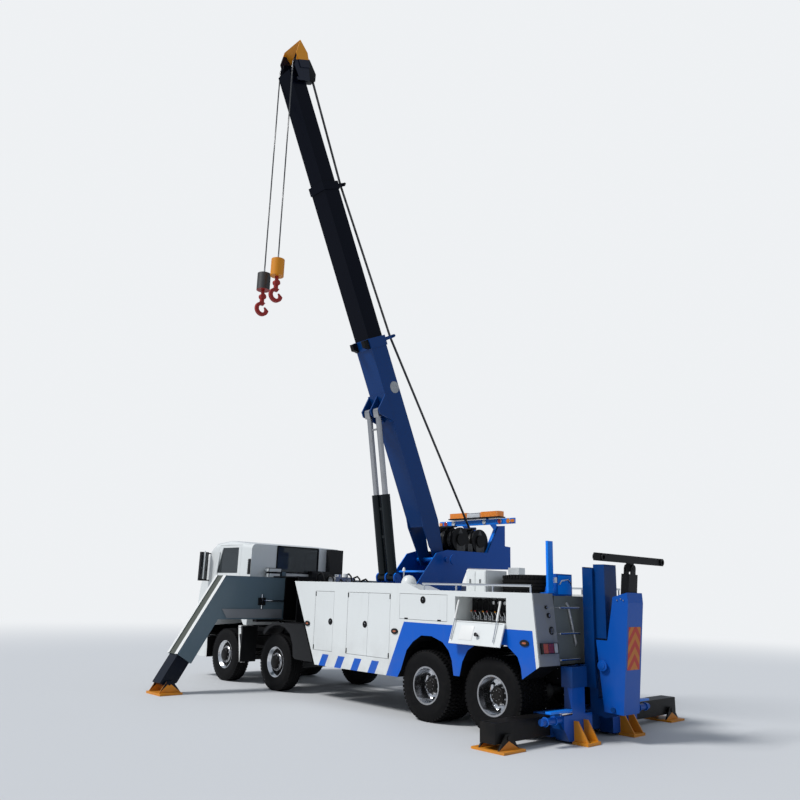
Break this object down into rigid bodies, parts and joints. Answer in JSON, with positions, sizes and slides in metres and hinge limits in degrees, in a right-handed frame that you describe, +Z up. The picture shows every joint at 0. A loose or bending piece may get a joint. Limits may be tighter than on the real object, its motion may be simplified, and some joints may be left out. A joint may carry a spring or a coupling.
{
  "type": "tow truck",
  "caption": "Heavy rotator recovery truck on four axles with a slewing telescopic boom, extending outriggers, locker bodies and a folding underlift.",
  "frame": {"origin": "on the road, at the middle of the rearmost axle's track", "axes": "+X forward towards the cab, +Y to the vehicle's left, +Z up"},
  "size_m": [10.5496, 7.278, 11.7264],
  "materials": {
    "tyre": "matt black rubber with polished rims set by the looks script",
    "white": "gloss white",
    "blue": "gloss blue",
    "navy": "semi-gloss dark navy",
    "chassis": "satin black",
    "slate": "satin slate grey",
    "dark_steel": "painted casting",
    "glass": "tinted",
    "interior": "textured trim",
    "trim": "dark trim",
    "lens": "moulded lenses",
    "deck_steel": "chequered and sheet metal",
    "chrome": "ground and plated",
    "rope": "stranded wire",
    "yellow": "gloss yellow"
  },
  "bodies": {
    "truck": {"frame": "chassis", "driveline": "dark_steel", "guards": "chassis", "cab_shell": "white", "cab_glass": "glass", "cab_interior": "interior", "cab_trim": "trim", "lamps": "lens", "bodies": "white", "deck": "deck_steel", "spare_wheel": "tyre", "rails": "deck_steel"},
    "knuckle_1_left": {"knuckle_1_left": "dark_steel"},
    "knuckle_1_right": {"knuckle_1_right": "dark_steel"},
    "knuckle_2_left": {"knuckle_2_left": "dark_steel"},
    "knuckle_2_right": {"knuckle_2_right": "dark_steel"},
    "wheel_1_left": {"wheel_1_left": "tyre"},
    "wheel_1_right": {"wheel_1_right": "tyre"},
    "wheel_2_left": {"wheel_2_left": "tyre"},
    "wheel_2_right": {"wheel_2_right": "tyre"},
    "wheel_3_left": {"wheel_3_left": "tyre"},
    "wheel_3_right": {"wheel_3_right": "tyre"},
    "wheel_4_left": {"wheel_4_left": "tyre"},
    "wheel_4_right": {"wheel_4_right": "tyre"},
    "cab_door_left": {"cab_door_left": "white", "door_glass_left": "glass"},
    "cab_door_right": {"cab_door_right": "white", "door_glass_right": "glass"},
    "locker_1_left": {"locker_1_left": "white"},
    "locker_2_left": {"locker_2_left": "white"},
    "locker_3_left": {"locker_3_left": "white"},
    "locker_4_left": {"locker_4_left": "white"},
    "locker_1_right": {"locker_1_right": "white"},
    "locker_2_right": {"locker_2_right": "white"},
    "hatch_left": {"hatch_left": "white"},
    "arm_left": {"arm_left": "slate"},
    "arm_right": {"arm_right": "slate"},
    "leg_left": {"leg_left": "slate"},
    "leg_right": {"leg_right": "slate"},
    "stabiliser": {"stabiliser": "chassis"},
    "rear_beam_left": {"rear_beam_left": "chassis"},
    "rear_beam_right": {"rear_beam_right": "chassis"},
    "turret": {"turret": "blue", "winches": "deck_steel", "lamp_board": "slate"},
    "boom_base": {"boom_base": "blue"},
    "boom_mid": {"boom_mid": "navy"},
    "boom_tip": {"boom_tip": "navy"},
    "lift_barrels": {"lift_barrels": "chassis"},
    "lift_rods": {"lift_rods": "chrome"},
    "mast": {"mast": "chassis"},
    "lift_arm": {"lift_arm": "blue"},
    "inner_arm": {"inner_arm": "chassis"},
    "cross_bar": {"cross_bar": "chassis"},
    "line_left": {"rope_left": "rope"},
    "hook_left": {"hook_left": "yellow"},
    "line_right": {"rope_right": "rope"},
    "hook_right": {"hook_right": "yellow"}
  },
  "joints": [
    {"name": "steer_1_left", "type": "hinge", "parent": "truck", "child": "knuckle_1_left", "pos_m": [7.461, 0.79, 0.535], "axis": [0, 0, 1], "range_deg": [-28, 28]},
    {"name": "steer_1_right", "type": "hinge", "parent": "truck", "child": "knuckle_1_right", "pos_m": [7.461, -0.79, 0.535], "axis": [0, 0, 1], "range_deg": [-28, 28]},
    {"name": "steer_2_left", "type": "hinge", "parent": "truck", "child": "knuckle_2_left", "pos_m": [5.557, 0.79, 0.535], "axis": [0, 0, 1], "range_deg": [-21, 21]},
    {"name": "steer_2_right", "type": "hinge", "parent": "truck", "child": "knuckle_2_right", "pos_m": [5.557, -0.79, 0.535], "axis": [0, 0, 1], "range_deg": [-21, 21]},
    {"name": "spin_1_left", "type": "hinge", "parent": "knuckle_1_left", "child": "wheel_1_left", "pos_m": [7.461, 1.08, 0.535], "axis": [0, 1, 0], "continuous": true},
    {"name": "spin_1_right", "type": "hinge", "parent": "knuckle_1_right", "child": "wheel_1_right", "pos_m": [7.461, -1.08, 0.535], "axis": [0, 1, 0], "continuous": true},
    {"name": "spin_2_left", "type": "hinge", "parent": "knuckle_2_left", "child": "wheel_2_left", "pos_m": [5.557, 1.08, 0.535], "axis": [0, 1, 0], "continuous": true},
    {"name": "spin_2_right", "type": "hinge", "parent": "knuckle_2_right", "child": "wheel_2_right", "pos_m": [5.557, -1.08, 0.535], "axis": [0, 1, 0], "continuous": true},
    {"name": "spin_3_left", "type": "hinge", "parent": "truck", "child": "wheel_3_left", "pos_m": [1.349, 0.95, 0.535], "axis": [0, 1, 0], "continuous": true},
    {"name": "spin_3_right", "type": "hinge", "parent": "truck", "child": "wheel_3_right", "pos_m": [1.349, -0.95, 0.535], "axis": [0, 1, 0], "continuous": true},
    {"name": "spin_4_left", "type": "hinge", "parent": "truck", "child": "wheel_4_left", "pos_m": [0, 0.95, 0.535], "axis": [0, 1, 0], "continuous": true},
    {"name": "spin_4_right", "type": "hinge", "parent": "truck", "child": "wheel_4_right", "pos_m": [0, -0.95, 0.535], "axis": [0, 1, 0], "continuous": true},
    {"name": "door_left", "type": "hinge", "parent": "truck", "child": "cab_door_left", "pos_m": [8.243, 1.222, 1.9], "axis": [0, 0, -1], "range_deg": [0, 65]},
    {"name": "door_right", "type": "hinge", "parent": "truck", "child": "cab_door_right", "pos_m": [8.243, -1.222, 1.9], "axis": [0, 0, 1], "range_deg": [0, 65]},
    {"name": "locker_hinge_1_left", "type": "hinge", "parent": "truck", "child": "locker_1_left", "pos_m": [4.262, 1.252, 1.3], "axis": [0, 0, -1], "range_deg": [0, 110]},
    {"name": "locker_hinge_1_right", "type": "hinge", "parent": "truck", "child": "locker_1_right", "pos_m": [4.262, -1.252, 1.3], "axis": [0, 0, 1], "range_deg": [0, 110]},
    {"name": "locker_hinge_2_left", "type": "hinge", "parent": "truck", "child": "locker_2_left", "pos_m": [3.307, 1.252, 1.3], "axis": [0, 0, -1], "range_deg": [0, 110]},
    {"name": "locker_hinge_2_right", "type": "hinge", "parent": "truck", "child": "locker_2_right", "pos_m": [3.307, -1.252, 1.3], "axis": [0, 0, 1], "range_deg": [0, 110]},
    {"name": "locker_hinge_3_left", "type": "hinge", "parent": "truck", "child": "locker_3_left", "pos_m": [2.184, 1.252, 1.3], "axis": [0, 0, 1], "range_deg": [0, 110]},
    {"name": "locker_hinge_4_left", "type": "hinge", "parent": "truck", "child": "locker_4_left", "pos_m": [1.414, 1.252, 1.524], "axis": [-1, 0, 0], "range_deg": [0, 100]},
    {"name": "hatch_hinge_left", "type": "hinge", "parent": "truck", "child": "hatch_left", "pos_m": [0.2, 1.252, 1.552], "axis": [1, 0, 0], "range_deg": [0, 160]},
    {"name": "arm_slide_left", "type": "slide", "parent": "truck", "child": "arm_left", "axis": [0, 1, 0], "range_m": [-1.05, 0]},
    {"name": "arm_slide_right", "type": "slide", "parent": "truck", "child": "arm_right", "axis": [0, -1, 0], "range_m": [-1.05, 0]},
    {"name": "leg_slide_left", "type": "slide", "parent": "arm_left", "child": "leg_left", "axis": [0, 0.5225, -0.8526], "range_m": [-0.38, 0]},
    {"name": "leg_slide_right", "type": "slide", "parent": "arm_right", "child": "leg_right", "axis": [0, -0.5225, -0.8526], "range_m": [-0.38, 0]},
    {"name": "stabiliser_lift", "type": "slide", "parent": "truck", "child": "stabiliser", "axis": [0, 0, -1], "range_m": [-0.33, 0]},
    {"name": "beam_slide_left", "type": "slide", "parent": "stabiliser", "child": "rear_beam_left", "axis": [0, 1, 0], "range_m": [-0.47, 0]},
    {"name": "beam_slide_right", "type": "slide", "parent": "stabiliser", "child": "rear_beam_right", "axis": [0, -1, 0], "range_m": [-0.64, 0]},
    {"name": "slew", "type": "hinge", "parent": "truck", "child": "turret", "pos_m": [2.75, 0, 1.42], "axis": [0, 0, 1], "continuous": true},
    {"name": "boom_lift", "type": "hinge", "parent": "turret", "child": "boom_base", "pos_m": [2.75, -0.3, 2.56], "axis": [1, 0, 0], "range_deg": [-62, 0]},
    {"name": "boom_extend", "type": "slide", "parent": "boom_base", "child": "boom_mid", "axis": [0, 0.4258, 0.9048], "range_m": [-2.77, 0]},
    {"name": "tip_extend", "type": "slide", "parent": "boom_mid", "child": "boom_tip", "axis": [0, 0.4258, 0.9048], "range_m": [-1.8468, 0]},
    {"name": "lift_cylinder_tilt", "type": "hinge", "parent": "turret", "child": "lift_barrels", "pos_m": [2.75, 0.8, 2.2], "axis": [1, 0, 0], "range_deg": [-75.5, 0]},
    {"name": "lift_cylinder_rod", "type": "slide", "parent": "lift_barrels", "child": "lift_rods", "axis": [0, 0.1663, 0.9861], "range_m": [-1.05, 0]},
    {"name": "line_swing_left", "type": "hinge", "parent": "boom_tip", "child": "line_left", "pos_m": [2.95, 3.74, 11.25], "axis": [-1, 0, 0], "range_deg": [-65, 5]},
    {"name": "line_swing_right", "type": "hinge", "parent": "boom_tip", "child": "line_right", "pos_m": [2.55, 3.74, 11.25], "axis": [-1, 0, 0], "range_deg": [-65, 5]},
    {"name": "hoist_left", "type": "slide", "parent": "line_left", "child": "hook_left", "axis": [0, 0, -1], "range_m": [-3, 0], "deforming": ["rope_left"]},
    {"name": "hoist_right", "type": "slide", "parent": "line_right", "child": "hook_right", "axis": [0, 0, -1], "range_m": [-3, 0], "deforming": ["rope_right"]},
    {"name": "mast_lift", "type": "slide", "parent": "truck", "child": "mast", "axis": [0, 0, 1], "range_m": [0, 0.5]},
    {"name": "underlift_fold", "type": "hinge", "parent": "mast", "child": "lift_arm", "pos_m": [-1.376, 0, 0.438], "axis": [0, -1, 0], "range_deg": [0, 85]},
    {"name": "underlift_extend", "type": "slide", "parent": "lift_arm", "child": "inner_arm", "axis": [-0.0906, 0, 0.9959], "range_m": [0, 0.8]},
    {"name": "cross_bar_swivel", "type": "hinge", "parent": "inner_arm", "child": "cross_bar", "pos_m": [-1.6322, 0, 2.38084], "axis": [-0.9959, 0, -0.0906], "range_deg": [-25, 25]}
  ],
  "couplings": [
    {"joint": "steer_1_right", "follows": "steer_1_left", "ratio": 1},
    {"joint": "steer_2_left", "follows": "steer_1_left", "ratio": 0.74},
    {"joint": "steer_2_right", "follows": "steer_1_left", "ratio": 0.74},
    {"joint": "tip_extend", "follows": "boom_extend", "ratio": 0.6667},
    {"joint": "lift_cylinder_tilt", "follows": "boom_lift", "ratio": 1.2167},
    {"joint": "lift_cylinder_rod", "follows": "boom_lift", "m_per_rad": 0.96867}
  ]
}
